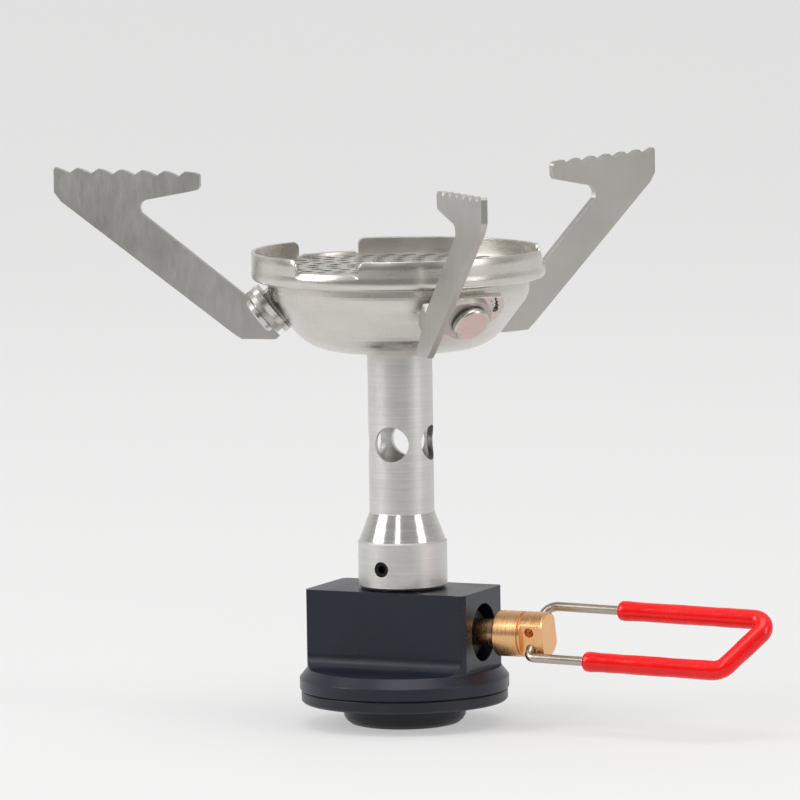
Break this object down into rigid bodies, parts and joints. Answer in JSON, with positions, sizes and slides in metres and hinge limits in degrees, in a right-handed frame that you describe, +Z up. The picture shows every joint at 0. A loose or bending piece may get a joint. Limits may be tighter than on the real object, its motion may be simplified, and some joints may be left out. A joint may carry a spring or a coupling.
{
  "type": "camping stove",
  "caption": "Canister-top gas stove with a bowl burner, folding toothed pot supports, a turned air tube, a valve block and a red folding wire bail.",
  "frame": {"origin": "centre of the mouth of the canister thread, on the burner axis, at the bottom of the boss", "axes": "+Z up along the burner tube, +X outward along the valve spindle, +Y completes the right hand"},
  "size_m": [0.1456, 0.1208, 0.1079],
  "materials": {
    "dark_anodised": "satin near-black anodised",
    "black_rubber": "matt black",
    "brass": "turned brass",
    "sintered": "porous sintered bronze",
    "navy_anodised": "satin dark navy anodised",
    "spindle_brass": "turned, warm orange tone",
    "wire_steel": "polished brownish wire",
    "red_dip": "glossy dipped coating",
    "turned_aluminium": "matt, fine turning lines",
    "black_steel": "black oxide",
    "satin_steel": "satin stainless",
    "dark_gauze": "fine woven wire, dull",
    "arm_steel": "satin stainless, warm grey",
    "spring_steel": "bright spring steel"
  },
  "bodies": {
    "root": {"connector_disc": "dark_anodised", "seat_plate": "dark_anodised", "canister_seal": "black_rubber", "depressor_pin": "brass", "inlet_filter": "sintered", "valve_body": "navy_anodised", "gland_nut": "black_steel", "jet_holder": "brass", "gas_jet": "brass", "burner_tube": "turned_aluminium", "collar_grub_screw": "black_steel", "neck_ring": "turned_aluminium", "burner_bowl": "satin_steel", "rim_ring": "satin_steel", "gauze_disc": "dark_gauze", "flame_plate": "satin_steel", "bracket_front": "satin_steel", "bracket_rear": "satin_steel", "bracket_left": "satin_steel", "arm_rivets": "satin_steel", "spring_washers": "spring_steel"},
    "oring": {"spindle_oring": "black_rubber"},
    "spindle": {"valve_spindle": "spindle_brass"},
    "bail": {"bail_wire": "wire_steel", "bail_sleeve": "red_dip"},
    "arm_f": {"arm_front": "arm_steel"},
    "arm_r": {"arm_rear": "arm_steel"},
    "arm_l": {"arm_left": "arm_steel"}
  },
  "joints": [
    {"name": "spindle_travel", "type": "slide", "parent": "root", "child": "oring", "axis": [1, 0, 0], "range_m": [0, 0.0016]},
    {"name": "knob_turn", "type": "hinge", "parent": "oring", "child": "spindle", "pos_m": [0.0281, 0, 0.0185], "axis": [1, 0, 0], "range_deg": [0, 720]},
    {"name": "bail_fold", "type": "hinge", "parent": "spindle", "child": "bail", "pos_m": [0.0281, 0, 0.0185], "axis": [0, -0.7108, -0.7034], "range_deg": [0, 90]},
    {"name": "arm_front_fold", "type": "hinge", "parent": "root", "child": "arm_f", "pos_m": [0.01982, -0.01388, 0.0823], "axis": [0.6499, -0.455, -0.6088], "range_deg": [-180, 0]},
    {"name": "arm_rear_fold", "type": "hinge", "parent": "root", "child": "arm_r", "pos_m": [0.00211, 0.02411, 0.0823], "axis": [0.0692, 0.7903, -0.6088], "range_deg": [-180, 0]},
    {"name": "arm_left_fold", "type": "hinge", "parent": "root", "child": "arm_l", "pos_m": [-0.02193, -0.01023, 0.0823], "axis": [-0.719, -0.3353, -0.6088], "range_deg": [-180, 0]}
  ],
  "couplings": [
    {"joint": "knob_turn", "follows": "spindle_travel", "rad_per_m": 7854}
  ]
}
